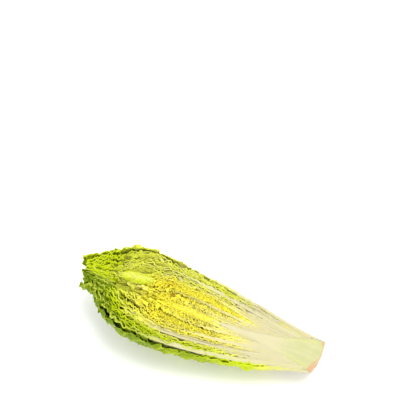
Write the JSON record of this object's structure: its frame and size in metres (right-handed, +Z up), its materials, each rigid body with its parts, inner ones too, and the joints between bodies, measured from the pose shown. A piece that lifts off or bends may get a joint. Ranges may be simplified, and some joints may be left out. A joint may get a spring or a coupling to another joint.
{
  "type": "halved romaine lettuce head",
  "caption": "Long leafy lettuce head cut in half lengthwise, lying on its rounded back with the nested leaves, heart and stem showing in the cut face.",
  "frame": {"origin": "on the surface it lies on, below the middle of its length and breadth", "axes": "+X along the head from the leaf tips to the butt of the stem, +Y across it, +Z up, with the cut face up"},
  "size_m": [0.273, 0.103, 0.0744],
  "materials": {
    "stem": null,
    "heart": null,
    "leaf_green": null,
    "leaf_yellow": null
  },
  "bodies": {
    "root": {"stem": "stem", "heart": "heart", "leaf_01": "leaf_green", "leaf_02": "leaf_green", "leaf_03": "leaf_green", "leaf_04": "leaf_green", "leaf_05": "leaf_green", "leaf_06": "leaf_green", "leaf_07": "leaf_green", "leaf_08": "leaf_green", "leaf_09": "leaf_green", "leaf_10": "leaf_green", "leaf_11": "leaf_yellow", "leaf_12": "leaf_yellow", "leaf_13": "leaf_yellow", "leaf_14": "leaf_yellow", "leaf_15": "leaf_yellow", "leaf_16": "leaf_yellow", "leaf_17": "leaf_yellow", "leaf_18": "leaf_yellow", "leaf_19": "leaf_yellow"}
  },
  "joints": []
}
